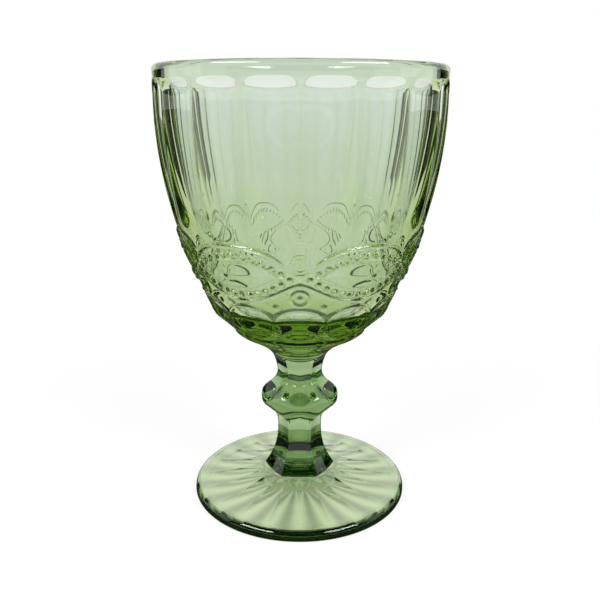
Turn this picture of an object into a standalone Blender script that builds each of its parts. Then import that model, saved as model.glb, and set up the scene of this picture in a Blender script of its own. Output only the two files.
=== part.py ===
"""A pressed-glass wine goblet: a fluted bowl, a six-sided stem with a knop, and a ribbed round foot.

Metres, +Z up. The goblet stands on z = 0 with its axis on Z, and its front faces -Y.
"""

import math

import bmesh
import bpy

# The foot
FOOT_DIAMETER = 0.0720
FOOT_EDGE_HEIGHT = 0.0032
FOOT_EDGE_ROUND = 0.0009
FOOT_BAND_WIDTH = 0.0032
FOOT_CROWN_HEIGHT = 0.0082
FOOT_HOLLOW_DEPTH = 0.0038
FOOT_HOLLOW_SWEEP = 1.3
REST_RING_WIDTH = 0.0040
FOOT_SWEEP = 1.8
RIB_COUNT = 20
RIB_DEPTH = 0.0005
RIB_END_SHARPNESS = 4

# The stem, measured across its corners
STEM_LENGTH = 0.0415
STEM_SIDES = 6
STEM_BASE_DIAMETER = 0.0237
STEM_NECK_DIAMETER = 0.0147
STEM_TOP_DIAMETER = 0.0196
BASE_FLARE_HEIGHT = 0.0150
TOP_FLARE_HEIGHT = 0.0085
BASE_FLARE_SWEEP = 2.5
TOP_FLARE_SWEEP = 2.0
KNOP_DIAMETER = 0.0257
KNOP_HEIGHT = 0.0251
KNOP_HALF_LENGTH = 0.00556
KNOP_FULLNESS = 3.0

# The bowl's outside
BOWL_HEIGHT = 0.0897
RIM_DIAMETER = 0.0884
RIM_BAND_HEIGHT = 0.0083
STRAIGHT_BAND_HEIGHT = 0.0100
SHOULDER_DIAMETER = 0.0530
SHOULDER_HEIGHT = 0.0127
UNDERSIDE_SEAT_SLOPE = 1.0
FLUTE_COUNT = 18
FLUTE_DEPTH = 0.0011
FLUTE_FOOT_HEIGHT = 0.0390
THUMBPRINT_COUNT = 12
THUMBPRINT_DEPTH = 0.0013
THUMBPRINT_HEIGHT = 0.0118
THUMBPRINT_CENTRE = 0.0161

# The bowl's inside
RIM_WALL = 0.0028
SHOULDER_WALL = 0.0050
FLOOR_THICKNESS = 0.0117
FLOOR_ROUND_HEIGHT = 0.0090

# Hair gap left at each fused joint
WELD_GAP = 0.0003

# Mesh fineness: columns round each piece, and rows along each stretch of its outline
BOWL_COLUMNS = 4 * FLUTE_COUNT
STEM_COLUMNS = 6 * STEM_SIDES
FOOT_COLUMNS = 4 * RIB_COUNT
UNDERSIDE_ROWS = 4
THUMBPRINT_ROWS = 6
PLAIN_ROWS = 4
FLUTE_ROWS = 7
ARCH_ROWS = 4
LIP_ROWS = 6
INSIDE_ROWS = 7
FLOOR_ROWS = 5
STEM_ROWS = 26
FOOT_TOP_ROWS = 7
FOOT_EDGE_ROWS = 2
FOOT_HOLLOW_ROWS = 3
SHARP_ANGLE = math.radians(40)

GLASS_COLOUR = (0.52, 0.68, 0.47, 1.0)
GLASS_ROUGHNESS = 0.03
GLASS_IOR = 1.52


def clear_scene():
    for found in list(bpy.data.objects):
        bpy.data.objects.remove(found, do_unlink=True)


def glass(name):
    """A green glass of the named piece's own."""
    material = bpy.data.materials.new(name)
    material.use_nodes = True
    shader = material.node_tree.nodes["Principled BSDF"]
    shader.inputs["Base Color"].default_value = GLASS_COLOUR
    shader.inputs["Roughness"].default_value = GLASS_ROUGHNESS
    shader.inputs["Metallic"].default_value = 0.0
    shader.inputs["IOR"].default_value = GLASS_IOR
    shader.inputs["Transmission Weight"].default_value = 1.0
    return material


def steps(first, last, count):
    """count even steps after first, ending on last."""
    return [first + (last - first) * i / count for i in range(1, count + 1)]


def angles(count):
    return [2 * math.pi * i / count for i in range(count)]


def point(radius, angle, height):
    """Angle 0 is the front, -Y, and the angle grows towards +X."""
    return (radius * math.sin(angle), -radius * math.cos(angle), height)


def scoop(across, beyond):
    """How deep a round-ended hollow is, from 0 at its edge to 1 along its middle.

    across runs from -1 to 1 over the hollow's width. beyond is how far a point lies past the
    straight part of the hollow, as a share of the length of its round end.
    """
    return max(0.0, 1.0 - across * across - beyond * beyond)


def across_repeat(angle, count):
    """Place within one of count equal repeats, -1 to 1, with a repeat's edge at angle 0."""
    turn = angle * count / (2 * math.pi)
    return 2 * (turn - math.floor(turn)) - 1


def loft(name, rings, first_tip=None, last_tip=None):
    """A closed solid through rings of equal length. Each end closes flat, or at a tip on the axis."""
    bm = bmesh.new()
    loops = [[bm.verts.new(place) for place in ring] for ring in rings]
    count = len(loops[0])
    for lower, upper in zip(loops, loops[1:]):
        for i in range(count):
            j = (i + 1) % count
            bm.faces.new((lower[i], lower[j], upper[j], upper[i]))
    for loop, tip in ((loops[0], first_tip), (loops[-1], last_tip)):
        if tip is None:
            bm.faces.new(loop)
            continue
        centre = bm.verts.new((0.0, 0.0, tip))
        for i in range(count):
            bm.faces.new((loop[i], loop[(i + 1) % count], centre))
    bmesh.ops.recalc_face_normals(bm, faces=bm.faces)
    mesh = bpy.data.meshes.new(name)
    bm.to_mesh(mesh)
    bm.free()
    mesh.shade_smooth()
    mesh.set_sharp_from_angle(angle=SHARP_ANGLE)
    mesh.materials.append(glass(name + "_glass"))
    piece = bpy.data.objects.new(name, mesh)
    bpy.context.scene.collection.objects.link(piece)
    return piece


# The foot

def foot_top(radius):
    """Height of the foot's upper side between its ribs: a hollow cone that steepens towards the stem."""
    band = FOOT_DIAMETER / 2 - FOOT_BAND_WIDTH
    crown = STEM_BASE_DIAMETER / 2
    share = (band - radius) / (band - crown)
    return FOOT_EDGE_HEIGHT + (FOOT_CROWN_HEIGHT - FOOT_EDGE_HEIGHT) * share**FOOT_SWEEP


def foot_rib_ring(radius):
    """A ring across the ribs, whose hollows fade out at the stem and at the rim band."""
    band = FOOT_DIAMETER / 2 - FOOT_BAND_WIDTH
    crown = STEM_BASE_DIAMETER / 2
    middle = (band + crown) / 2
    beyond = abs(radius - middle) / (band - middle)
    ring = []
    for angle in angles(FOOT_COLUMNS):
        across = across_repeat(angle, RIB_COUNT)
        hollow = RIB_DEPTH * scoop(across, beyond**RIB_END_SHARPNESS)
        ring.append(point(radius, angle, foot_top(radius) - hollow))
    return ring


def foot_edge_rings():
    """The rounded outer edge, from its lower corner up."""
    outer = FOOT_DIAMETER / 2 - FOOT_EDGE_ROUND
    rings = []
    for height, start in ((FOOT_EDGE_ROUND, -90.0), (FOOT_EDGE_HEIGHT - FOOT_EDGE_ROUND, 0.0)):
        for turn in [start] + steps(start, start + 90.0, FOOT_EDGE_ROWS):
            radius = outer + FOOT_EDGE_ROUND * math.cos(math.radians(turn))
            level = height + FOOT_EDGE_ROUND * math.sin(math.radians(turn))
            rings.append([point(radius, angle, level) for angle in angles(FOOT_COLUMNS)])
    return rings


def make_foot():
    """A disc that rests on a flat ring round a shallow hollow, and rises to a flat crown."""
    band = FOOT_DIAMETER / 2 - FOOT_BAND_WIDTH
    crown = STEM_BASE_DIAMETER / 2
    hollow = FOOT_DIAMETER / 2 - FOOT_EDGE_ROUND - REST_RING_WIDTH
    underside = []
    for share in steps(0.0, 1.0, FOOT_HOLLOW_ROWS):
        level = FOOT_HOLLOW_DEPTH * (1 - share**FOOT_HOLLOW_SWEEP)
        underside.append([point(hollow * share, angle, level) for angle in angles(FOOT_COLUMNS)])
    top = [foot_rib_ring(radius) for radius in [band] + steps(band, crown, FOOT_TOP_ROWS)]
    return loft("foot", underside + foot_edge_rings() + top, first_tip=FOOT_HOLLOW_DEPTH)


# The stem

def knop_swell(height):
    """How far the stem has swelled into its knop, from 0 at the neck to 1 at the knop's middle."""
    return math.exp(-(abs(height - KNOP_HEIGHT) / KNOP_HALF_LENGTH) ** KNOP_FULLNESS)


def base_flare(height):
    """How far the stem has flared towards the foot, from 0 at the neck to 1 at its lower end."""
    return max(0.0, 1.0 - height / BASE_FLARE_HEIGHT) ** BASE_FLARE_SWEEP


def top_flare(height):
    """How far the stem has flared towards the bowl, from 0 at the neck to 1 at its upper end."""
    return max(0.0, 1.0 - (STEM_LENGTH - height) / TOP_FLARE_HEIGHT) ** TOP_FLARE_SWEEP


def stem_radius(height):
    """Corner radius of the stem: a neck that swells at its knop and flares at both ends."""
    neck = STEM_NECK_DIAMETER / 2
    knop = (KNOP_DIAMETER / 2 - neck) * knop_swell(height)
    base = (STEM_BASE_DIAMETER / 2 - neck) * base_flare(height)
    top = (STEM_TOP_DIAMETER / 2 - neck) * top_flare(height)
    return neck + knop + base + top


def hexagon_share(angle):
    """Radius of a six-sided outline with a flat to the front, where its corners have radius 1."""
    half = math.pi / STEM_SIDES
    return math.cos(half) / math.cos((angle + half) % (2 * half) - half)


def make_stem():
    """Six flats that turn round at the knop and at the two welds."""
    rings = []
    for height in [0.0] + steps(0.0, STEM_LENGTH, STEM_ROWS):
        radius = stem_radius(height)
        roundness = max(knop_swell(height), base_flare(height), top_flare(height))
        ring = []
        for angle in angles(STEM_COLUMNS):
            share = hexagon_share(angle) * (1 - roundness) + roundness
            ring.append(point(radius * share, angle, height))
        rings.append(ring)
    return loft("stem", rings)


# The bowl

def wall_radius(height):
    """Outside of the bowl above its shoulder: a parabola that turns upright below the rim."""
    straight = BOWL_HEIGHT - STRAIGHT_BAND_HEIGHT
    spread = RIM_DIAMETER / 2 - SHOULDER_DIAMETER / 2
    share = max(0.0, straight - height) / (straight - SHOULDER_HEIGHT)
    return RIM_DIAMETER / 2 - spread * share * share


def underside_radius(height):
    """Outside of the bowl below its shoulder: an S-curve from the stem's weld into the wall."""
    straight = BOWL_HEIGHT - STRAIGHT_BAND_HEIGHT
    shoulder_slope = (RIM_DIAMETER - SHOULDER_DIAMETER) / (straight - SHOULDER_HEIGHT)
    share = height / SHOULDER_HEIGHT
    ends = STEM_TOP_DIAMETER / 2 + (SHOULDER_DIAMETER - STEM_TOP_DIAMETER) / 2 * share**2 * (3 - 2 * share)
    lower = UNDERSIDE_SEAT_SLOPE * SHOULDER_HEIGHT * share * (1 - share) ** 2
    upper = shoulder_slope * SHOULDER_HEIGHT * share**2 * (1 - share)
    return ends + lower - upper


def outside_radius(height):
    return underside_radius(height) if height < SHOULDER_HEIGHT else wall_radius(height)


def flute_end():
    """Length of a flute's round end, which is half its width at the rim."""
    return math.pi * RIM_DIAMETER / FLUTE_COUNT / 2


def bowl_outside_ring(height):
    """A ring of the outside, with the flutes and the thumbprints taken out of it."""
    low = FLUTE_FOOT_HEIGHT + flute_end()
    high = BOWL_HEIGHT - RIM_BAND_HEIGHT - flute_end()
    flute_beyond = max(0.0, low - height, height - high) / flute_end()
    print_beyond = (height - THUMBPRINT_CENTRE) / (THUMBPRINT_HEIGHT / 2)
    ring = []
    for angle in angles(BOWL_COLUMNS):
        flute_turn = angle + math.pi / FLUTE_COUNT
        flute = FLUTE_DEPTH * scoop(across_repeat(flute_turn, FLUTE_COUNT), flute_beyond)
        print_turn = angle + math.pi / THUMBPRINT_COUNT
        thumbprint = THUMBPRINT_DEPTH * scoop(across_repeat(print_turn, THUMBPRINT_COUNT), print_beyond)
        ring.append(point(outside_radius(height) - flute - thumbprint, angle, height))
    return ring


def wall_thickness(height):
    """Grows evenly from the rim down to the shoulder."""
    share = (BOWL_HEIGHT - height) / (BOWL_HEIGHT - SHOULDER_HEIGHT)
    return RIM_WALL + (SHOULDER_WALL - RIM_WALL) * share


def inside_radius(height):
    """Smooth inside of the bowl, rounded in at its floor."""
    depth = min(1.0, (height - FLOOR_THICKNESS) / FLOOR_ROUND_HEIGHT)
    rounding = math.sqrt(max(0.0, 1 - (1 - depth) ** 2))
    return (outside_radius(height) - wall_thickness(height)) * rounding


def make_bowl():
    """A thick-based shell: up its outside, over the rounded lip and down its inside."""
    print_low = THUMBPRINT_CENTRE - THUMBPRINT_HEIGHT / 2
    print_high = THUMBPRINT_CENTRE + THUMBPRINT_HEIGHT / 2
    arch_low = FLUTE_FOOT_HEIGHT + flute_end()
    arch_high = BOWL_HEIGHT - RIM_BAND_HEIGHT - flute_end()
    lip = RIM_WALL / 2
    heights = [0.0]
    for last, rows in (
        (print_low, UNDERSIDE_ROWS),
        (print_high, THUMBPRINT_ROWS),
        (FLUTE_FOOT_HEIGHT, PLAIN_ROWS),
        (arch_low, ARCH_ROWS),
        (arch_high, FLUTE_ROWS),
        (BOWL_HEIGHT - RIM_BAND_HEIGHT, ARCH_ROWS),
        (BOWL_HEIGHT - lip, 1),
    ):
        heights += steps(heights[-1], last, rows)
    rings = [bowl_outside_ring(height) for height in heights]
    for turn in steps(0.0, math.pi, LIP_ROWS):
        radius = RIM_DIAMETER / 2 - lip + lip * math.cos(turn)
        level = BOWL_HEIGHT - lip + lip * math.sin(turn)
        rings.append([point(radius, angle, level) for angle in angles(BOWL_COLUMNS)])
    floor_top = FLOOR_THICKNESS + FLOOR_ROUND_HEIGHT
    inside = steps(BOWL_HEIGHT - lip, floor_top, INSIDE_ROWS)
    for turn in steps(0.0, math.pi / 2, FLOOR_ROWS)[:-1]:
        inside.append(floor_top - FLOOR_ROUND_HEIGHT * math.sin(turn))
    for height in inside:
        rings.append([point(inside_radius(height), angle, height) for angle in angles(BOWL_COLUMNS)])
    return loft("bowl", rings, last_tip=FLOOR_THICKNESS)


def main():
    clear_scene()
    goblet = bpy.data.objects.new("wine_glass", None)
    bpy.context.scene.collection.objects.link(goblet)
    stem_level = FOOT_CROWN_HEIGHT + WELD_GAP
    bowl_level = stem_level + STEM_LENGTH + WELD_GAP
    for piece, level in ((make_foot(), 0.0), (make_stem(), stem_level), (make_bowl(), bowl_level)):
        piece.parent = goblet
        piece.location.z = level


main()
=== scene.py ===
"""Looks of a pressed-glass wine goblet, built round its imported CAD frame.

The bowl, stem and foot are each one closed glass body whose ornament is real relief. Metres, +Z up,
with the goblet's axis on Z and its front to -Y. Angles are measured from the front towards +X, and
heights on a piece from its own lower end.
"""

import logging
import math
from dataclasses import dataclass, field
from enum import Enum
from typing import Optional, Sequence, Union

import bpy
import numpy as np
from mathutils import Euler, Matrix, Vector

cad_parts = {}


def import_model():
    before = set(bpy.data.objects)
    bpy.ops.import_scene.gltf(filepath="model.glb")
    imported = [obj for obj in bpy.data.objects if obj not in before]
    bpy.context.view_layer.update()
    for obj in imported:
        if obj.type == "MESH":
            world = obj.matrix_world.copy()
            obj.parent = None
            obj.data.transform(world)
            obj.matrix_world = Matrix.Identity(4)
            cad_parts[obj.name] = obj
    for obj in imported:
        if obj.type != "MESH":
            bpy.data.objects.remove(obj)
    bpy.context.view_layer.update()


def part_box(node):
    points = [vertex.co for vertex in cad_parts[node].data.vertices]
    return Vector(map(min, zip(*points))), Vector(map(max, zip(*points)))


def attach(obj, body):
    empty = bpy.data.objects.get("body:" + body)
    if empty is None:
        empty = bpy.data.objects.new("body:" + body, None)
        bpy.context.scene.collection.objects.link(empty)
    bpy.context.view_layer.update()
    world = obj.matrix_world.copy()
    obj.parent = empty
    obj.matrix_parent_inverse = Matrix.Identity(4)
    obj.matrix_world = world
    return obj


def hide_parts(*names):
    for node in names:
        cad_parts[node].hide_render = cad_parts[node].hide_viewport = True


log = logging.getLogger("goblet")

MM = 0.001
TURN = 2 * math.pi

Socket = bpy.types.NodeSocket
Tree = bpy.types.NodeTree
Colour = tuple[float, float, float, float]
Feeds = dict[Union[str, int], Union[Socket, float, Colour]]
Faces = list[tuple[int, ...]]
Pair = tuple[float, float]
Stops = tuple[Pair, ...]

WHITE: Colour = (1.0, 1.0, 1.0, 1.0)


class Side(Enum):
    """The left or the right of the goblet, as the camera sees it."""

    LEFT = -1
    RIGHT = 1


class Ray(Enum):
    """How the studio is seen: by the camera, mirrored in the glass or through it."""

    CAMERA = "Is Camera Ray"
    MIRRORED = "Is Glossy Ray"
    THROUGH = "Is Transmission Ray"


# Shapes


def bump(distance: np.ndarray) -> np.ndarray:
    """A smooth hump, 1 at distance 0 and flat at 0 from distance 1 outwards."""
    return np.clip(1.0 - distance * distance, 0.0, None) ** 2


def ramp(share: np.ndarray) -> np.ndarray:
    """A smooth rise from 0 at share 0 to 1 at share 1."""
    held = np.clip(share, 0.0, 1.0)
    return held * held * (3.0 - 2.0 * held)


def round_end(share: np.ndarray) -> np.ndarray:
    """A quarter round, 0 at share 0, where it is steep, and 1 from share 1 on."""
    held = np.clip(share, 0.0, 1.0)
    return np.sqrt(held * (2.0 - held))


def across_repeat(angle: np.ndarray, count: int) -> np.ndarray:
    """Place within one of count equal repeats round the axis.

    Args:
        angle: Angles from the front, in radians.
        count: Repeats in a whole turn, one of them centred on the front.

    Returns:
        -1 to 1 across each repeat, with 0 at its middle.
    """
    turn = angle * count / TURN + 0.5
    return 2.0 * (turn - np.floor(turn)) - 1.0


def ring(radius: np.ndarray, angle: np.ndarray, level: np.ndarray) -> np.ndarray:
    """Points round the axis.

    Args:
        radius: Distance from the axis of each point, or of all of them.
        angle: Angle of each point.
        level: Height of each point, or of all of them.

    Returns:
        One row of x, y and z for each angle.
    """
    spread = np.ones_like(angle)
    return np.stack((radius * np.sin(angle), -radius * np.cos(angle), level * spread), axis=1)


def columns(count: int) -> np.ndarray:
    """Angles of count evenly spaced columns, the first of them at the front."""
    return np.arange(count) * TURN / count


def strip_faces(lower: int, lower_count: int, upper: int, upper_count: int) -> Faces:
    """Faces between two neighbouring rings, one of which may have twice the points of the other.

    Args:
        lower: Index of the first ring's first point.
        lower_count: How many points the first ring has.
        upper: Index of the second ring's first point.
        upper_count: How many points the second ring has.

    Returns:
        Quads, or three triangles for each pair of points where the rings differ.
    """
    faces: Faces = []
    if lower_count == upper_count:
        for i in range(lower_count):
            j = (i + 1) % lower_count
            faces.append((lower + i, lower + j, upper + j, upper + i))
        return faces
    few = min(lower_count, upper_count)
    fine, coarse = (lower, upper) if lower_count > upper_count else (upper, lower)
    for i in range(few):
        j = (i + 1) % few
        start, middle, end = fine + 2 * i, fine + 2 * i + 1, fine + 2 * j
        made = [
            (coarse + i, middle, start),
            (coarse + i, coarse + j, middle),
            (coarse + j, end, middle),
        ]
        faces += made if fine == upper else [face[::-1] for face in made]
    return faces


def tip_faces(first: int, count: int, tip: int, upwards: bool) -> Faces:
    """Triangles from a ring to a point on the axis.

    Args:
        first: Index of the ring's first point.
        count: How many points the ring has.
        tip: Index of the point on the axis.
        upwards: True where the tip comes after the ring, False where it comes before.

    Returns:
        The triangles, facing the same way as the strips.
    """
    pairs = [(first + i, first + (i + 1) % count) for i in range(count)]
    return [(a, b, tip) if upwards else (b, a, tip) for a, b in pairs]


def mesh_object(name: str, points: Sequence[Sequence[float]], faces: Faces) -> bpy.types.Object:
    """A new mesh object in the scene.

    Args:
        name: Name of the object and of its mesh.
        points: Its corners.
        faces: Its faces, as indices of corners.

    Returns:
        The object.
    """
    mesh = bpy.data.meshes.new(name)
    mesh.from_pydata(points, [], faces)
    made = bpy.data.objects.new(name, mesh)
    bpy.context.scene.collection.objects.link(made)
    return made


def closed_body(
    name: str, rings: list[np.ndarray], low_tip: float, high_tip: float
) -> bpy.types.Object:
    """A closed body lofted through rings, with a point on the axis at each end.

    Args:
        name: Name of the piece.
        rings: Rings in order along the outline, from the underside over the outside.
        low_tip: Height of the point before the first ring.
        high_tip: Height of the point after the last ring.

    Returns:
        The new object, smooth shaded and in the scene.
    """
    counts = [len(points) for points in rings]
    starts = [int(start) for start in np.cumsum([0] + counts)]
    faces: Faces = []
    for k in range(len(rings) - 1):
        faces += strip_faces(starts[k], counts[k], starts[k + 1], counts[k + 1])
    last = starts[-1]
    faces += tip_faces(0, counts[0], last, upwards=False)
    faces += tip_faces(starts[-2], counts[-1], last + 1, upwards=True)
    points = np.vstack(rings + [np.array([[0.0, 0.0, low_tip], [0.0, 0.0, high_tip]])])
    body = mesh_object(name, points.tolist(), faces)
    body.data.validate()
    body.data.shade_smooth()
    return body


# The ornament pressed into the bowl


@dataclass
class Flutes:
    """Upright round-ended scoops that run from the eye band up to the rim band."""

    count: int = 18
    low: float = 41.5 * MM
    high: float = 85.5 * MM
    depth_low: float = 1.25 * MM
    depth_high: float = 0.95 * MM
    corner: float = 4.2 * MM
    run_out_high: float = 4.2 * MM
    run_out_low: float = 10.0 * MM
    fullness: float = 2.1
    least_width: float = 1e-6

    def depth(self, angle: np.ndarray, height: float, radius: float) -> np.ndarray:
        """How deep the scoops cut.

        Args:
            angle: Angles from the front, where a ridge between two scoops stands.
            height: Height above the weld.
            radius: The wall's radius there.

        Returns:
            A depth for each angle.
        """
        if not self.low < height < self.high:
            return np.zeros_like(angle)
        half = math.pi * radius / self.count
        under_top = self.high - height
        over_foot = height - self.low
        top_width = half - self.corner + self.corner * float(round_end(under_top / self.corner))
        foot_width = half * float(round_end(over_foot / half))
        width = max(min(top_width, foot_width) / half, self.least_width)
        offset = across_repeat(angle + math.pi / self.count, self.count)
        cross = np.clip(1.0 - (np.abs(offset) / width) ** self.fullness, 0.0, None)
        top_share = min(1.0, under_top / self.run_out_high)
        ends = top_share * (2.0 - top_share) * float(ramp(over_foot / self.run_out_low))
        share = over_foot / (self.high - self.low)
        return (self.depth_low + (self.depth_high - self.depth_low) * share) * ends * cross


@dataclass
class EyeBand:
    """Almond eyes that meet at six crossings, each with a ridge, beads and a smooth lens.

    The fade, the arch and the bead corner are shares of half an eye's width.
    """

    count: int = 6
    top_level: float = 31.4 * MM
    top_rise: float = 9.6 * MM
    top_fullness: float = 1.6
    top_fade: Pair = (0.66, 0.88)
    bottom_level: float = 31.7 * MM
    bottom_drop: float = 7.3 * MM
    arch: float = 0.12
    ridge_rise: float = 0.75 * MM
    ridge_half: float = 0.75 * MM
    channel_rise: float = 0.15 * MM
    bead_level: float = 31.9 * MM
    bead_above: float = 6.5 * MM
    bead_below: float = 5.6 * MM
    bead_corner: float = 0.85
    beads_each_side: int = 12
    bead_radius: float = 0.98 * MM
    bead_rise: float = 0.80 * MM
    lens_edge: float = 3.4 * MM
    lens_rise: float = 0.45 * MM
    lens_step: float = 0.90 * MM
    lens_dome: float = 0.35 * MM
    slope_step: float = 0.01
    almond_points: int = 401

    def top(self, share: np.ndarray) -> np.ndarray:
        """Height of an eye's upper edge, share 0 at its middle and 1 at the crossing."""
        bend = np.abs(share) ** self.top_fullness
        return self.top_level + self.top_rise * np.cos(math.pi / 2 * bend)

    def bottom(self, share: np.ndarray) -> np.ndarray:
        """Height of an eye's lower edge, which runs on into the next eye's as a round arch."""
        apart = np.hypot(1.0 - np.abs(share), self.arch)
        return self.bottom_level - self.bottom_drop * np.sin(math.pi / 2 * apart)

    def inside(
        self, share: np.ndarray, height: float, half: float
    ) -> tuple[np.ndarray, np.ndarray]:
        """How far a point lies inside the two edges of its eye, negative outside them.

        Args:
            share: Place across the eye, -1 to 1.
            height: Height above the weld.
            half: Half the eye's width along the wall.

        Returns:
            The distances from the upper and the lower edge, measured square to them.
        """
        step = self.slope_step
        out = np.abs(share)
        distances = []
        for edge, sign in ((self.top, 1.0), (self.bottom, -1.0)):
            slope = (edge(out + step) - edge(out - step)) / (2 * step * half)
            distances.append(sign * (edge(share) - height) / np.sqrt(1.0 + slope * slope))
        return distances[0], distances[1]

    def bead_places(self, half: float) -> np.ndarray:
        """Bead centres of one eye, evenly spaced along an almond.

        Args:
            half: Half the eye's width along the wall.

        Returns:
            Rows of place across the eye, from -1 to 1, and height above the weld.
        """
        shares = np.linspace(-self.bead_corner, self.bead_corner, self.almond_points)
        swell = 1.0 - (shares / self.bead_corner) ** 2
        sides = []
        for reach in (self.bead_above, -self.bead_below):
            heights = self.bead_level + reach * swell
            steps = np.hypot(np.diff(shares) * half, np.diff(heights))
            along = np.concatenate(([0.0], np.cumsum(steps)))
            stops = np.linspace(0.0, along[-1], self.beads_each_side + 1)
            centres = (np.interp(stops, along, shares), np.interp(stops, along, heights))
            sides.append(np.stack(centres, axis=1))
        upper, lower = sides
        return np.vstack((upper, lower[1:-1]))

    def relief(self, angle: np.ndarray, height: float, radius: float) -> np.ndarray:
        """How far the band stands out from the wall.

        Args:
            angle: Angles from the front, where two eyes cross.
            height: Height above the weld.
            radius: The wall's radius there.

        Returns:
            A rise for each angle.
        """
        half = math.pi * radius / self.count
        share = across_repeat(angle + math.pi / self.count, self.count)
        under_top, over_bottom = self.inside(share, height, half)
        start, end = self.top_fade
        kept = 1.0 - ramp((np.abs(share) - start) / (end - start))
        upper_ridge = kept * bump(under_top / self.ridge_half)
        lower_ridge = bump(over_bottom / self.ridge_half)
        ridge = self.ridge_rise * np.maximum(upper_ridge, lower_ridge)
        inside = np.minimum(under_top, over_bottom)
        channel = self.channel_rise * ramp(inside / self.ridge_half)
        over_lens = inside - self.lens_edge
        lens = self.lens_rise * ramp(over_lens / self.lens_step)
        dome = self.lens_dome * ramp(over_lens / (self.top_rise - self.lens_edge))
        places = self.bead_places(half)
        near = np.abs(places[:, 1] - height) < self.bead_radius
        beads = np.zeros_like(angle)
        for place, level in places[near]:
            distance = np.hypot((share - place) * half, height - level) / self.bead_radius
            bead = self.bead_rise * np.sqrt(np.clip(1.0 - distance**2, 0.0, None))
            beads = np.maximum(beads, bead)
        return np.maximum(ridge, channel + lens + dome) + beads


@dataclass(frozen=True)
class Medallion:
    """A small dot with rings about it, repeated round the bowl."""

    height: float
    rise: float
    dot: float
    rings: tuple[float, ...] = ()
    ring_half: float = 0.45 * MM
    bearings: tuple[float, ...] = (0.0,)
    count: int = 6

    def relief(self, angle: np.ndarray, height: float, radius: float) -> np.ndarray:
        """How far the dot and its rings stand out from the wall.

        Args:
            angle: Angles from the front.
            height: Height above the weld.
            radius: The wall's radius there.

        Returns:
            A rise for each angle.
        """
        half = math.pi * radius / self.count
        share = np.zeros_like(angle)
        for bearing in self.bearings:
            aside = across_repeat(angle - bearing, self.count) * half
            distance = np.hypot(aside, height - self.height)
            share = np.maximum(share, bump(distance / self.dot))
            for centre_line in self.rings:
                share = np.maximum(share, bump((distance - centre_line) / self.ring_half))
        return self.rise * share


@dataclass
class Thumbprints:
    """A row of oval hollows with raised outlines, over a row of petals on the underside.

    The outline's half width is a share of a hollow's, and the run-in one of a petal's length.
    """

    count: int = 12
    middle: float = 16.6 * MM
    half_above: float = 5.6 * MM
    half_below: float = 6.2 * MM
    depth: float = 1.6 * MM
    outline_rise: float = 0.45 * MM
    outline_half: float = 0.11
    petal_low: float = 1.5 * MM
    petal_high: float = 10.4 * MM
    petal_groove: float = 0.9 * MM
    petal_sharpness: float = 5.0
    petal_run_in: float = 0.5

    def relief(self, angle: np.ndarray, height: float) -> np.ndarray:
        """How far the wall stands out, negative in the hollows and in the grooves between petals.

        Args:
            angle: Angles from the front, where one hollow is centred.
            height: Height above the weld.

        Returns:
            A rise for each angle.
        """
        across = across_repeat(angle, self.count)
        half = self.half_above if height > self.middle else self.half_below
        reach = np.hypot(across, (height - self.middle) / half)
        hollow = -self.depth * np.clip(1.0 - reach * reach, 0.0, None)
        outline = self.outline_rise * bump((reach - 1.0) / self.outline_half)
        if height > self.petal_high:
            return hollow + outline
        share = (height - self.petal_low) / (self.petal_high - self.petal_low)
        deepened = self.petal_groove * float(ramp(share / self.petal_run_in))
        return hollow + outline - deepened * np.abs(across) ** self.petal_sharpness


# The finishes


def connect(tree: Tree, node: bpy.types.Node, feeds: Feeds) -> None:
    """Fills a node's inputs.

    Args:
        tree: The tree that the node is in.
        node: The node.
        feeds: What goes into each input, by name or place: another node's output or a plain value.
    """
    for name, feed in feeds.items():
        if isinstance(feed, Socket):
            tree.links.new(feed, node.inputs[name])
        else:
            node.inputs[name].default_value = feed


def add_node(tree: Tree, kind: str, feeds: Feeds) -> bpy.types.Node:
    """Adds a node to a tree.

    Args:
        tree: The tree.
        kind: The node's type.
        feeds: What goes into its inputs.

    Returns:
        The node.
    """
    node = tree.nodes.new(kind)
    connect(tree, node, feeds)
    return node


def add_maths(tree: Tree, operation: str, feeds: Feeds, kind: str = "ShaderNodeMath") -> Socket:
    """Adds a sum to a tree.

    Args:
        tree: The tree.
        operation: What the sum does.
        feeds: What goes into it.
        kind: Type of the node, for numbers or for vectors.

    Returns:
        Where its value comes out.
    """
    node = tree.nodes.new(kind)
    node.operation = operation
    connect(tree, node, feeds)
    return node.outputs["Value"]


def add_tint_mix(tree: Tree, feeds: Feeds) -> Socket:
    """Adds a mix of two colours to a tree.

    Args:
        tree: The tree.
        feeds: The colours A and B, and the Factor that goes from one to the other.

    Returns:
        Where the mixed colour comes out.
    """
    node = tree.nodes.new("ShaderNodeMix")
    node.data_type = "RGBA"
    connect(tree, node, feeds)
    return node.outputs["Result"]


def matt(name: str, colour: Colour) -> bpy.types.Material:
    """A plain material without any sheen.

    Args:
        name: Name of the material.
        colour: Its colour.

    Returns:
        The material.
    """
    material = bpy.data.materials.new(name)
    material.use_nodes = True
    tree = material.node_tree
    looks = {"Base Color": colour, "Roughness": 1.0, "Specular IOR Level": 0.0}
    connect(tree, tree.nodes["Principled BSDF"], looks)
    return material


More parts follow.
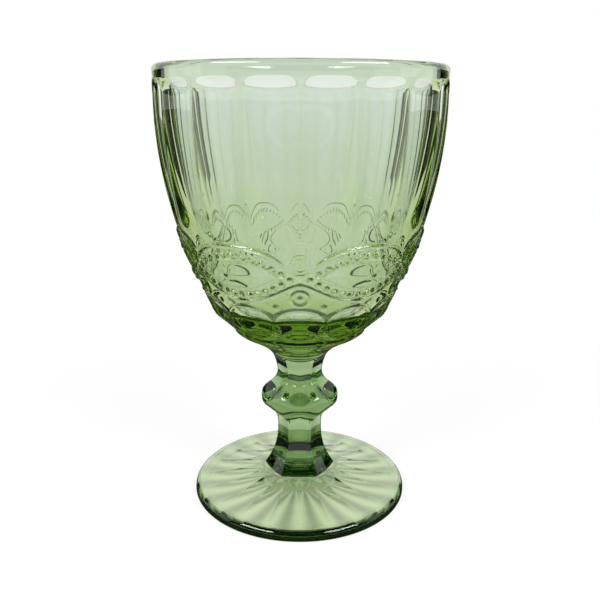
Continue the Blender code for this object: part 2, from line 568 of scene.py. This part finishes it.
@dataclass(frozen=True)
class PressedSkin:
    """The shared skin of pressed glass: slow waviness, a breath of haze and a drift of tint."""

    wave_detail: float = 1.0
    breath_scale: float = 140.0
    breath_detail: float = 3.0
    drift_scale: float = 30.0

    def group(self) -> Tree:
        """Makes the skin, which each glass places with its own values.

        Returns:
            A shader node group. Tint, Deep Tint, Wave Scale, Wave Height, Polish and Haze go in,
            and Color, Roughness and Normal come out.
        """
        tree = bpy.data.node_groups.new("pressed_skin", "ShaderNodeTree")
        for way, name, kind in (
            ("INPUT", "Tint", "Color"),
            ("INPUT", "Deep Tint", "Color"),
            ("INPUT", "Wave Scale", "Float"),
            ("INPUT", "Wave Height", "Float"),
            ("INPUT", "Polish", "Float"),
            ("INPUT", "Haze", "Float"),
            ("OUTPUT", "Color", "Color"),
            ("OUTPUT", "Roughness", "Float"),
            ("OUTPUT", "Normal", "Vector"),
        ):
            tree.interface.new_socket(name, in_out=way, socket_type=f"NodeSocket{kind}")
        given = tree.nodes.new("NodeGroupInput").outputs
        place = tree.nodes.new("ShaderNodeTexCoord").outputs["Object"]

        wave_feeds = {"Vector": place, "Scale": given["Wave Scale"], "Detail": self.wave_detail}
        wave = add_node(tree, "ShaderNodeTexNoise", wave_feeds).outputs["Fac"]
        lift_feeds = {"Height": wave, "Distance": given["Wave Height"], "Strength": 1.0}
        lift = add_node(tree, "ShaderNodeBump", lift_feeds)

        breath_feeds = {"Vector": place, "Scale": self.breath_scale, "Detail": self.breath_detail}
        breath = add_node(tree, "ShaderNodeTexNoise", breath_feeds).outputs["Fac"]
        haze = add_maths(tree, "MULTIPLY_ADD", {0: breath, 1: given["Haze"], 2: given["Polish"]})

        drift_feeds = {"Vector": place, "Scale": self.drift_scale}
        drift = add_node(tree, "ShaderNodeTexNoise", drift_feeds).outputs["Fac"]
        tints = {"Factor": drift, "A": given["Tint"], "B": given["Deep Tint"]}
        tint = add_tint_mix(tree, tints)

        result = {"Color": tint, "Roughness": haze, "Normal": lift.outputs["Normal"]}
        add_node(tree, "NodeGroupOutput", result)
        return tree


@dataclass(frozen=True)
class GreenGlass:
    """Green pressed glass: a pale skin over a body that turns olive with depth."""

    tint: Colour = (0.98, 0.99, 1.0, 1.0)
    deep_tint: Colour = (0.95, 0.97, 0.985, 1.0)
    absorbed: Colour = (0.327, 0.5455, 0.091, 1.0)
    density: float = 110.0
    refraction: float = 1.52
    wave_scale: float = 55.0
    wave_height: float = 0.03 * MM
    polish: float = 0.0
    haze: float = 0.008

    def material(self, name: str, skin: Tree) -> bpy.types.Material:
        """A glass material of a piece's own.

        Args:
            name: Name of the material.
            skin: The shared skin group.

        Returns:
            The material, with its colour of depth as a plain absorption.
        """
        material = bpy.data.materials.new(name)
        material.use_nodes = True
        tree = material.node_tree
        surface = tree.nodes.new("ShaderNodeGroup")
        surface.node_tree = skin
        skin_values: Feeds = {
            "Tint": self.tint,
            "Deep Tint": self.deep_tint,
            "Wave Scale": self.wave_scale,
            "Wave Height": self.wave_height,
            "Polish": self.polish,
            "Haze": self.haze,
        }
        connect(tree, surface, skin_values)
        glass: Feeds = {
            "Metallic": 0.0,
            "Transmission Weight": 1.0,
            "IOR": self.refraction,
            "Base Color": surface.outputs["Color"],
            "Roughness": surface.outputs["Roughness"],
            "Normal": surface.outputs["Normal"],
        }
        connect(tree, tree.nodes["Principled BSDF"], glass)
        depth_feeds = {"Color": self.absorbed, "Density": self.density}
        depth = add_node(tree, "ShaderNodeVolumeAbsorption", depth_feeds).outputs["Volume"]
        connect(tree, tree.nodes["Material Output"], {"Volume": depth})
        return material


DEEP_GLASS = GreenGlass()
PALE_GLASS = GreenGlass(
    tint=(0.905, 0.94, 1.0, 1.0),
    deep_tint=(0.875, 0.92, 0.98, 1.0),
    absorbed=(0.60, 0.7364, 0.155, 1.0),
)


@dataclass(frozen=True)
class FlagVelvet:
    """Black velvet for the flags."""

    colour: Colour = (0.004, 0.004, 0.004, 1.0)

    def material(self) -> bpy.types.Material:
        """The velvet."""
        return matt("flag_velvet", self.colour)


@dataclass(frozen=True)
class FloorPaper:
    """Floor paper: a real soft shadow by the goblet, and painted shade where glass shows it.

    The levels are pairs of a distance and a brightness. Those seen mirrored in and through the
    glass are painted shade, dark by the goblet and its foot. The painted streaks and the painted
    green cast under the foot stand for the light that its flutes gather.
    """

    colour: Colour = (0.86, 0.86, 0.86, 1.0)
    reach: float = 0.60
    shown: Stops = ((0.03, 0.70), (0.22, 1.0))
    # Painted shade seen mirrored in the glass: dark except on the paper well in front of the
    # goblet.
    mirrored: Stops = ((0.05, 0.06), (0.14, 0.90))
    # Painted shadow seen through the glass: darker under and by the foot.
    through: Stops = (
        (0.0, 0.55),
        (0.010, 0.60),
        (0.018, 0.70),
        (0.034, 0.75),
        (0.045, 0.95),
        (0.10, 1.0),
        (0.25, 0.92),
    )
    # Painted caustic light under the foot: its streaks and its green cast.
    streak_count: int = 20
    streak_levels: Pair = (0.74, 1.30)
    streak_reach: Pair = (0.030, 0.040)
    painted_caustic_reach: Pair = (0.030, 0.048)
    painted_caustic_tint: Colour = (0.84, 0.92, 0.66, 1.0)

    def levels(self, tree: Tree, distance: Socket, stops: Stops) -> Socket:
        """Brightness over a distance.

        Args:
            tree: The paper's nodes.
            distance: The distance, as a share of the paper's reach.
            stops: Pairs of a distance and a brightness.

        Returns:
            Where the brightness comes out.
        """
        node = add_node(tree, "ShaderNodeValToRGB", {"Fac": distance})
        shades = node.color_ramp
        shades.interpolation = "EASE"
        shades.elements.remove(shades.elements[1])
        for k, (radius, value) in enumerate(stops):
            share = radius / self.reach
            stop = shades.elements.new(share) if k else shades.elements[0]
            stop.position = share
            stop.color = (value, value, value, 1.0)
        return node.outputs["Color"]

    def fade(self, tree: Tree, distance: Socket, span: Pair) -> Socket:
        """A rise from 0 to 1 over a span of distance.

        Args:
            tree: The paper's nodes.
            distance: The distance.
            span: Where the rise starts and ends.

        Returns:
            Where the rise comes out.
        """
        feeds = {"Value": distance, "From Min": span[0], "From Max": span[1]}
        return add_node(tree, "ShaderNodeMapRange", feeds).outputs["Result"]

    def streaks(self, tree: Tree, turn: Socket, away: Socket) -> Socket:
        """Painted rays of light and shade under the foot, gone past its rim.

        Args:
            tree: The paper's nodes.
            turn: A point's bearing round the axis.
            away: The point's distance from the axis.

        Returns:
            Where the rays' strength comes out.
        """
        repeat = add_maths(tree, "MULTIPLY", {0: turn, 1: self.streak_count})
        wave = add_maths(tree, "COSINE", {0: repeat})
        dark, light = self.streak_levels
        swing = {"Value": wave, "From Min": -1.0, "To Min": dark, "To Max": light}
        streak = add_node(tree, "ShaderNodeMapRange", swing).outputs["Result"]
        past = self.fade(tree, away, self.streak_reach)
        ends = {"Factor": past, "A": streak, "B": 1.0}
        return add_node(tree, "ShaderNodeMix", ends).outputs["Result"]

    def material(self) -> bpy.types.Material:
        """The paper.

        Returns:
            A matt material that glows with its own levels for each way of seeing it.
        """
        material = matt("floor_paper", self.colour)
        tree = material.node_tree
        position = tree.nodes.new("ShaderNodeNewGeometry").outputs["Position"]
        place = add_node(tree, "ShaderNodeSeparateXYZ", {"Vector": position}).outputs
        away = add_maths(tree, "LENGTH", {0: position}, "ShaderNodeVectorMath")
        outward = add_maths(tree, "DIVIDE", {0: away, 1: self.reach})
        ahead = add_maths(tree, "DIVIDE", {0: place["Y"], 1: -self.reach})
        past_painted_caustic = self.fade(tree, away, self.painted_caustic_reach)
        cast = add_tint_mix(tree, {"Factor": past_painted_caustic, "A": self.painted_caustic_tint, "B": WHITE})
        turn = add_maths(tree, "ARCTAN2", {0: place["X"], 1: place["Y"]})
        streaked = self.streaks(tree, turn, away)
        seen = tree.nodes.new("ShaderNodeLightPath").outputs

        # Seen directly, the paper is bleached with distance. In the glass it shows painted shade by
        # the
        #  goblet, with painted streaks and a painted green cast of light under the foot.
        shown = self.levels(tree, outward, self.shown)
        bleached = add_maths(tree, "MULTIPLY", {0: seen[Ray.CAMERA.value], 1: shown})
        layers = [(bleached, {"Color": WHITE, "Strength": 1.0})]
        for ray, stops, distance in (
            (Ray.MIRRORED, self.mirrored, ahead),
            (Ray.THROUGH, self.through, outward),
        ):
            level = self.levels(tree, distance, stops)
            strength = add_maths(tree, "MULTIPLY", {0: level, 1: streaked})
            layers.append((seen[ray.value], {"Color": cast, "Strength": strength}))
        shader = tree.nodes["Principled BSDF"].outputs["BSDF"]
        for share, light in layers:
            glow = add_node(tree, "ShaderNodeEmission", light).outputs["Emission"]
            mixed = add_node(tree, "ShaderNodeMixShader", {"Fac": share, 1: shader, 2: glow})
            shader = mixed.outputs["Shader"]
        connect(tree, tree.nodes["Material Output"], {"Surface": shader})
        return material


# The pieces


@dataclass
class Piece:
    """A glass piece that stands for one CAD node."""

    node: str
    slot: str
    body: Optional[bpy.types.Object] = field(default=None, init=False)
    low: float = field(default=0.0, init=False)
    high: float = field(default=0.0, init=False)
    reach: float = field(default=0.0, init=False)

    def __post_init__(self) -> None:
        """Takes the lowest and highest points and the largest radius from the CAD node."""
        lowest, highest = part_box(self.node)
        self.low = float(lowest[2])
        self.high = float(highest[2])
        self.reach = float(highest[0] - lowest[0]) / 2

    def dress(self, finish: GreenGlass, skin: Tree) -> None:
        """Gives the piece its glass and ties it to the frame.

        Args:
            finish: The glass.
            skin: The shared skin group.
        """
        self.body.data.materials.append(finish.material(self.slot, skin))
        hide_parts(self.node)
        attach(self.body, "root")


@dataclass
class Bowl(Piece):
    """The cup: petals, thumbprints, eye band, flutes and rim outside, and smooth inside."""

    node: str = "bowl"
    slot: str = "bowl_glass"
    straight_band: float = 10.0 * MM
    shoulder_radius: float = 26.5 * MM
    shoulder_height: float = 12.7 * MM
    underside: tuple[Pair, ...] = (
        (0.0, 9.85 * MM),
        (2.3 * MM, 12.6 * MM),
        (4.2 * MM, 15.6 * MM),
        (6.2 * MM, 19.3 * MM),
        (8.0 * MM, 21.7 * MM),
        (9.8 * MM, 22.5 * MM),
        (11.6 * MM, 24.4 * MM),
        (13.4 * MM, 26.7 * MM),
    )
    blend_height: float = 17.5 * MM
    blend_step: float = 1.5 * MM
    rim_wall: float = 2.8 * MM
    body_wall: float = 5.0 * MM
    thick_from: float = 86.0 * MM
    thick_to: float = 46.0 * MM
    floor_thickness: float = 14.6 * MM
    floor_round: float = 4.0 * MM
    flutes: Flutes = field(default_factory=Flutes)
    eyes: EyeBand = field(default_factory=EyeBand)
    prints: Thumbprints = field(default_factory=Thumbprints)
    over_crossing: Medallion = Medallion(
        height=36.4 * MM, rise=0.42 * MM, dot=0.8 * MM, rings=(1.95 * MM, 3.05 * MM)
    )
    under_crossing: Medallion = Medallion(
        height=26.0 * MM, rise=0.55 * MM, dot=1.1 * MM, rings=(2.35 * MM,), ring_half=0.65 * MM
    )
    side_dots: Medallion = Medallion(
        height=22.9 * MM,
        rise=0.5 * MM,
        dot=1.15 * MM,
        bearings=(math.radians(-12.4), math.radians(12.4)),
    )
    # Where the mesh changes its spacing, and its rows and columns
    eyes_from: float = 22.0 * MM
    eyes_past: float = 0.3 * MM
    flute_heel: float = 6.0 * MM
    flute_head: float = 3.0 * MM
    head_past: float = 0.2 * MM
    petal_rows: int = 22
    print_rows: int = 30
    eye_rows: int = 64
    heel_rows: int = 14
    flute_rows: int = 16
    head_rows: int = 16
    band_rows: int = 4
    lip_rows: int = 13
    inside_rows: int = 28
    floor_rows: int = 15
    around: int = 360
    around_eyes: int = 720
    around_inside: int = 180

    def wall(self, height: np.ndarray) -> np.ndarray:
        """Radius of the wall without ornament: a parabola that turns upright below the rim.

        Args:
            height: Height above the weld, or several.

        Returns:
            The radius at each height.
        """
        straight = self.high - self.low - self.straight_band
        share = np.clip(straight - height, 0.0, None) / (straight - self.shoulder_height)
        return self.reach - (self.reach - self.shoulder_radius) * share * share

    def outline(self, height: float) -> float:
        """Radius of the outside without ornament, the underside included.

        Args:
            height: Height above the weld.

        Returns:
            The radius there, on a smooth curve through the underside's points and up the wall.
        """
        joins = [self.blend_height, self.blend_height + self.blend_step]
        heights = [place[0] for place in self.underside] + joins
        radii = [place[1] for place in self.underside] + [float(self.wall(h)) for h in joins]
        if height >= heights[-1]:
            return float(self.wall(height))
        slopes = np.gradient(radii, heights)
        k = int(np.clip(np.searchsorted(heights, height, side="right") - 1, 0, len(heights) - 2))
        span = heights[k + 1] - heights[k]
        t = (height - heights[k]) / span
        lead = (1 + 2 * t) * (1 - t) ** 2 * radii[k] + t * t * (3 - 2 * t) * radii[k + 1]
        return float(lead + span * t * (1 - t) * ((1 - t) * slopes[k] - t * slopes[k + 1]))

    def outside_ring(self, height: float, count: int) -> np.ndarray:
        """A ring of the outside with its ornament.

        Args:
            height: Height above the weld.
            count: How many points it has.

        Returns:
            The ring's points.
        """
        angle = columns(count)
        plain = self.outline(height)
        prints = self.prints.relief(angle, height)
        radius = plain + prints - self.flutes.depth(angle, height, plain)
        if self.prints.middle < height < self.flutes.low + self.eyes.ridge_half:
            ornament = self.eyes.relief(angle, height, plain)
            for medallion in (self.over_crossing, self.under_crossing, self.side_dots):
                ornament = np.maximum(ornament, medallion.relief(angle, height, plain))
            radius = radius + ornament
        return ring(radius, angle, self.low + height)

    def inside_radius(self, height: float) -> float:
        """Radius of the smooth inside, rounded in at its floor.

        Args:
            height: Height above the weld.

        Returns:
            The radius there.
        """
        below = (self.thick_from - height) / (self.thick_from - self.thick_to)
        thick = self.rim_wall + (self.body_wall - self.rim_wall) * ramp(below)
        depth = np.clip((height - self.floor_thickness) / self.floor_round, 0.0, 1.0)
        return float((self.wall(height) - thick) * np.sqrt(1.0 - (1.0 - depth) ** 2))

    def build(self) -> None:
        """Makes the mesh: up the outside, over the lip and down the inside."""
        tall = self.high - self.low
        lip = self.rim_wall / 2
        zones = (
            (self.prints.petal_high, self.petal_rows, self.around),
            (self.eyes_from, self.print_rows, self.around),
            (self.flutes.low + self.eyes_past, self.eye_rows, self.around_eyes),
            (self.flutes.low + self.flute_heel, self.heel_rows, self.around),
            (self.flutes.high - self.flute_head, self.flute_rows, self.around),
            (self.flutes.high + self.head_past, self.head_rows, self.around),
            (tall - lip, self.band_rows, self.around),
        )
        rings = []
        start = 0.0
        for end, rows, count in zones:
            heights = np.linspace(start, end, rows, endpoint=False)
            rings += [self.outside_ring(height, count) for height in heights]
            start = end
        angle = columns(self.around)
        for turn in np.linspace(0.0, math.pi, self.lip_rows):
            radius = self.reach - lip + lip * math.cos(turn)
            rings.append(ring(radius, angle, self.high - lip + lip * math.sin(turn)))
        angle = columns(self.around_inside)
        floor_top = self.floor_thickness + self.floor_round
        inside = list(np.linspace(tall - lip, floor_top, self.inside_rows)[1:])
        turns = np.linspace(0.0, math.pi / 2, self.floor_rows)[1:-1]
        inside += [floor_top - self.floor_round * math.sin(turn) for turn in turns]
        for height in inside:
            rings.append(ring(self.inside_radius(height), angle, self.low + height))
        self.body = closed_body("glass_bowl", rings, self.low, self.low + self.floor_thickness)


@dataclass
class Stem(Piece):
    """The six-sided stem with its round knop, let a hair into the bowl and the foot."""

    node: str = "stem"
    slot: str = "stem_glass"
    sides: int = 6
    base_radius: float = 11.85 * MM
    base_flare: float = 15.0 * MM
    base_sweep: float = 2.5
    neck_radius: float = 7.40 * MM
    top_radius: float = 9.8 * MM
    top_flare: float = 8.5 * MM
    top_sweep: float = 2.0
    knop_radius: float = 12.85 * MM
    knop_height: float = 25.1 * MM
    knop_half: float = 5.56 * MM
    knop_fullness: float = 3.0
    scoop_half: float = 4.2 * MM
    scoop_fullness: float = 2.5
    base_ease: float = 0.30
    base_round: float = 11.0 * MM
    top_round: float = 3.0 * MM
    top_ease: float = 2.0
    weld: float = 0.6 * MM
    corner_sharpness: float = 90.0
    around: int = 240
    rows: int = 150

    def swell(self, height: float, half: float, fullness: float) -> float:
        """How far the knop has swelled at a height, 1 at its middle.

        Args:
            height: Height above the foot.
            half: Half the knop's length.
            fullness: How square its outline is.

        Returns:
            A share from 0 to 1.
        """
        return math.exp(-((abs(height - self.knop_height) / half) ** fullness))

    def shaft(self, height: float) -> float:
        """Radius of the stem's corners without the knop.

        Args:
            height: Height above the foot.

        Returns:
            The radius there.
        """
        from_top = self.high - self.low - height
        base_share = max(0.0, 1 - height / self.base_flare) ** self.base_sweep
        top_share = max(0.0, 1 - from_top / self.top_flare) ** self.top_sweep
        base = (self.base_radius - self.neck_radius) * base_share
        return self.neck_radius + base + (self.top_radius - self.neck_radius) * top_share

    def corner_radius(self, height: float) -> float:
        """Radius of the stem's corners at a height above the foot."""
        knop = self.swell(height, self.knop_half, self.knop_fullness)
        return self.shaft(height) + (self.knop_radius - self.neck_radius) * knop

    def flat_radius(self, height: float) -> float:
        """Radius at the middle of a flat, whose hollow ends bite into the knop.

        Args:
            height: Height above the foot.

        Returns:
            The radius, which nears the corners' radius at both welds.
        """
        side = math.cos(math.pi / self.sides)
        knop = self.swell(height, self.scoop_half, self.scoop_fullness)
        flat = side * self.shaft(height) + (self.knop_radius - side * self.neck_radius) * knop
        from_top = self.high - self.low - height
        base = self.base_ease * max(0.0, 1 - height / self.base_round)
        top = max(0.0, 1 - from_top / self.top_round) ** self.top_ease
        return flat + (self.corner_radius(height) - flat) * max(base, top)

    def hexagon(self, angle: np.ndarray) -> np.ndarray:
        """How far angles lie from a flat's middle, 0, towards a slightly eased corner, 1.

        Args:
            angle: Angles from the front, where a flat is centred.

        Returns:
            A share for each angle.
        """
        pull = np.zeros_like(angle)
        for k in range(self.sides):
            facing = np.clip(np.cos(angle - TURN * k / self.sides), 0.0, None)
            pull += facing**self.corner_sharpness
        side = math.cos(math.pi / self.sides)
        return (side * pull ** (-1 / self.corner_sharpness) - side) / (1.0 - side)

    def build(self) -> None:
        """Makes the mesh from the lower weld to the upper one."""
        tall = self.high - self.low
        angle = columns(self.around)
        towards_corner = self.hexagon(angle)
        softened = 0.5 - 0.5 * np.cos(self.sides * angle)
        rings = []
        for height in np.linspace(-self.weld, tall + self.weld, self.rows):
            held = min(max(height, 0.0), tall)
            flat = self.flat_radius(held)
            soft = self.swell(held, self.knop_half, self.knop_fullness)
            towards = towards_corner + (softened - towards_corner) * soft
            radius = flat + (self.corner_radius(held) - flat) * towards
            rings.append(ring(radius, angle, self.low + height))
        self.body = closed_body("glass_stem", rings, self.low - self.weld, self.high + self.weld)


@dataclass
class Foot(Piece):
    """The round foot: radial flutes on top, a thick bevelled edge and a shallow hollow beneath."""

    node: str = "foot"
    slot: str = "foot_glass"
    edge_height: float = 3.9 * MM
    edge_low: float = 1.5 * MM
    edge_round: float = 0.9 * MM
    band_width: float = 3.2 * MM
    crown_radius: float = 12.1 * MM
    sweep: float = 1.8
    hollow_depth: float = 3.8 * MM
    hollow_sweep: float = 1.3
    rest_width: float = 4.0 * MM
    flute_count: int = 20
    flute_depth: float = 0.32 * MM
    flute_start: float = 12.6 * MM
    flute_fade: float = 0.15
    run_out: float = 5.0 * MM
    hollow_rows: int = 14
    edge_rows: int = 9
    bevel_rows: int = 17
    flute_rows: int = 90
    around: int = 480

    def top(self, radius: float) -> float:
        """Height of the upper side between its flutes.

        Args:
            radius: Distance from the axis.

        Returns:
            The height there.
        """
        band = self.reach - self.band_width
        share = min(1.0, max(0.0, (band - radius) / (band - self.crown_radius)))
        return self.edge_height + (self.high - self.low - self.edge_height) * share**self.sweep

    def top_ring(self, radius: float, angle: np.ndarray) -> np.ndarray:
        """A ring across the flutes, which start at the stem and fade out towards the rim band.

        Args:
            radius: The ring's radius.
            angle: Its columns.

        Returns:
            The ring's points.
        """
        band = self.reach - self.band_width
        inward = radius - self.flute_start
        fade = max(0.0, (band - radius) / (band - self.flute_start)) ** self.flute_fade
        ends = float(ramp(inward / self.run_out)) * fade
        across = across_repeat(angle + math.pi / self.flute_count, self.flute_count)
        cut = self.flute_depth * ends * (1.0 - across * across)
        return ring(radius, angle, self.low + self.top(radius) - cut)

    def build(self) -> None:
        """Makes the mesh: out along the hollow, round the edge and in over the flutes."""
        angle = columns(self.around)
        outer = self.reach - self.edge_round
        hollow = outer - self.rest_width
        band = self.reach - self.band_width
        rings = []
        for share in np.linspace(0.0, 1.0, self.hollow_rows)[1:]:
            level = self.hollow_depth * (1 - share**self.hollow_sweep)
            rings.append(ring(hollow * share, angle, self.low + level))
        for turn in np.linspace(-math.pi / 2, 0.0, self.edge_rows):
            radius = outer + self.edge_round * math.cos(turn)
            rings.append(ring(radius, angle, self.low + self.edge_round * (1.0 + math.sin(turn))))
        for turn in np.linspace(0.0, math.pi / 2, self.bevel_rows)[:-1]:
            radius = band + self.band_width * math.cos(turn)
            level = self.edge_low + (self.edge_height - self.edge_low) * math.sin(turn)
            rings.append(ring(radius, angle, self.low + level))
        for radius in np.linspace(band, self.crown_radius, self.flute_rows):
            rings.append(self.top_ring(radius, angle))
        self.body = closed_body("glass_foot", rings, self.low + self.hollow_depth, self.high)


# The studio


@dataclass(frozen=True)
class Flag:
    """A dark upright flag, curved round the goblet, with a twin on the other side.

    Its two ends have bearings, in degrees from straight behind the goblet, and distances from it.
    """

    bearings: Pair
    distances: Pair
    heights: Pair
    steps: int = 13

    def stand(self, name: str, side: Side) -> bpy.types.Object:
        """Stands the flag on one side.

        Args:
            name: Name of the flag.
            side: The side it stands on.

        Returns:
            The flag, in the scene.
        """
        turns = side.value * np.radians(np.linspace(*self.bearings, self.steps))
        points = [
            (distance * math.sin(turn), distance * math.cos(turn), level)
            for turn, distance in zip(turns, np.linspace(*self.distances, self.steps))
            for level in self.heights
        ]
        faces = [(2 * i, 2 * i + 2, 2 * i + 3, 2 * i + 1) for i in range(self.steps - 1)]
        flag = mesh_object(f"flag_{name}_{side.name.lower()}", points, faces)
        return flag


@dataclass
class Studio:
    """A paper floor, a white surround, dark flags that draw the glass's edges, and softboxes."""

    floor: Optional[bpy.types.Object] = field(default=None, init=False)
    floor_size: float = 6.0
    floor_gap: float = 0.1 * MM
    paper: FloorPaper = FloorPaper()
    velvet: FlagVelvet = FlagVelvet()
    back_flag: Flag = Flag(bearings=(33.0, 70.0), distances=(0.38, 0.22), heights=(0.012, 0.15))
    front_flag: Flag = Flag(bearings=(106.0, 180.0), distances=(0.60, 0.60), heights=(0.15, 1.70))
    upper_flag: Flag = Flag(bearings=(0.0, 106.0), distances=(0.75, 0.75), heights=(1.00, 2.40))
    surround_light: Colour = (0.75, 0.75, 0.75, 1.0)
    softbox_place: tuple[float, float, float] = (0.28, -0.235, 0.351)
    softbox_aim: tuple[float, float, float] = (0.0, 0.0, 0.08)
    softbox_size: Pair = (0.26, 0.12)
    softbox_power: float = 1.4
    camera_distance: float = 225.1 * MM
    camera_height: float = 130.6 * MM
    camera_pitch: float = 15.81
    camera_roll: float = 0.2
    camera_lens: float = 42.81
    camera_sensor: float = 36.0
    camera_near: float = 10.0 * MM
    most_bounces: int = 24
    mirrored_bounces: int = 12
    clear_bounces: int = 16

    def flags(self) -> None:
        """Stands the dark flags on both sides, seen only by the glass."""
        velvet = self.velvet.material()
        shapes = {"back": self.back_flag, "front": self.front_flag, "upper": self.upper_flag}
        for side in Side:
            for name, shape in shapes.items():
                flag = shape.stand(name, side)
                flag.data.materials.append(velvet)
                flag.visible_camera = False
                flag.visible_diffuse = False
                flag.visible_shadow = False

    def lay_floor(self) -> None:
        """Lays the paper a hair under the goblet."""
        half = self.floor_size / 2
        corners = [(-half, -half, 0.0), (half, -half, 0.0), (half, half, 0.0), (-half, half, 0.0)]
        self.floor = mesh_object("floor", corners, [(0, 1, 2, 3)])
        self.floor.location.z = -self.floor_gap
        self.floor.data.materials.append(self.paper.material())

    def surround(self) -> None:
        """Makes the surround white where it is seen, directly or in the glass."""
        world = bpy.data.worlds.new("white_surround")
        world.use_nodes = True
        tree = world.node_tree
        light = tree.nodes["Background"]
        connect(tree, light, {"Color": self.surround_light})
        white = add_node(tree, "ShaderNodeBackground", {"Color": WHITE})
        seen = tree.nodes.new("ShaderNodeLightPath").outputs
        shown = seen[Ray.CAMERA.value]
        for ray in (Ray.MIRRORED, Ray.THROUGH):
            shown = add_maths(tree, "MAXIMUM", {0: shown, 1: seen[ray.value]})
        both = {"Fac": shown, 1: light.outputs["Background"], 2: white.outputs["Background"]}
        mixed = add_node(tree, "ShaderNodeMixShader", both).outputs["Shader"]
        connect(tree, tree.nodes["World Output"], {"Surface": mixed})
        bpy.context.scene.world = world

    def softboxes(self, name: str, lit: list[bpy.types.Object], through: bool) -> None:
        """Hangs one softbox on each side, in front and above.

        Args:
            name: Name of the pair.
            lit: The pieces that the softboxes light.
            through: Whether they shine through the glass as well as glinting on it.
        """
        lit_pieces = bpy.data.collections.new(f"{name}_lit")
        for piece in lit:
            lit_pieces.objects.link(piece)
        aside, ahead, above = self.softbox_place
        for side in Side:
            lamp = bpy.data.lights.new(f"{name}_{side.name.lower()}", "AREA")
            lamp.shape = "RECTANGLE"
            lamp.size, lamp.size_y = self.softbox_size
            lamp.energy = self.softbox_power
            box = bpy.data.objects.new(lamp.name, lamp)
            box.location = (side.value * aside, ahead, above)
            aim = Vector(self.softbox_aim) - Vector(box.location)
            box.rotation_euler = aim.to_track_quat("-Z", "Y").to_euler()
            box.visible_camera = False
            box.visible_transmission = through
            box.light_linking.receiver_collection = lit_pieces
            bpy.context.scene.collection.objects.link(box)

    def camera(self) -> None:
        """Sets up the camera at the photograph's viewing angle."""
        data = bpy.data.cameras.new("camera")
        data.lens = self.camera_lens
        data.sensor_width = self.camera_sensor
        data.clip_start = self.camera_near
        camera = bpy.data.objects.new("camera", data)
        camera.location = (0.0, -self.camera_distance, self.camera_height)
        tilt = Euler((math.radians(90.0 - self.camera_pitch), 0.0, 0.0)).to_matrix()
        roll = Euler((0.0, 0.0, math.radians(self.camera_roll))).to_matrix()
        camera.rotation_euler = (tilt @ roll).to_euler()
        bpy.context.scene.collection.objects.link(camera)
        bpy.context.scene.camera = camera

    def build(self) -> None:
        """Sets the studio up, apart from the softboxes, which need the pieces that they light."""
        self.camera()
        self.lay_floor()
        self.surround()
        self.flags()
        scene = bpy.context.scene
        scene.view_settings.view_transform = "Standard"
        scene.cycles.max_bounces = self.most_bounces
        scene.cycles.transmission_bounces = self.most_bounces
        scene.cycles.glossy_bounces = self.mirrored_bounces
        scene.cycles.transparent_max_bounces = self.clear_bounces


def main() -> None:
    """Builds the studio and the three glass pieces."""
    logging.basicConfig(level=logging.INFO, format="%(name)s: %(message)s")
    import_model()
    studio = Studio()
    studio.build()
    skin = PressedSkin().group()
    foot, stem, bowl = Foot(), Stem(), Bowl()
    for piece, finish in ((foot, DEEP_GLASS), (stem, DEEP_GLASS), (bowl, PALE_GLASS)):
        piece.build()
        piece.dress(finish, skin)
        log.info("%s: %d faces", piece.body.name, len(piece.body.data.polygons))
    # The bowl has a pair of its own that only glints on it, as lamps seen through it would flare.
    studio.softboxes("softbox", [foot.body, stem.body, studio.floor], through=True)
    studio.softboxes("glint", [bowl.body], through=False)


if __name__ == "__main__":
    main()
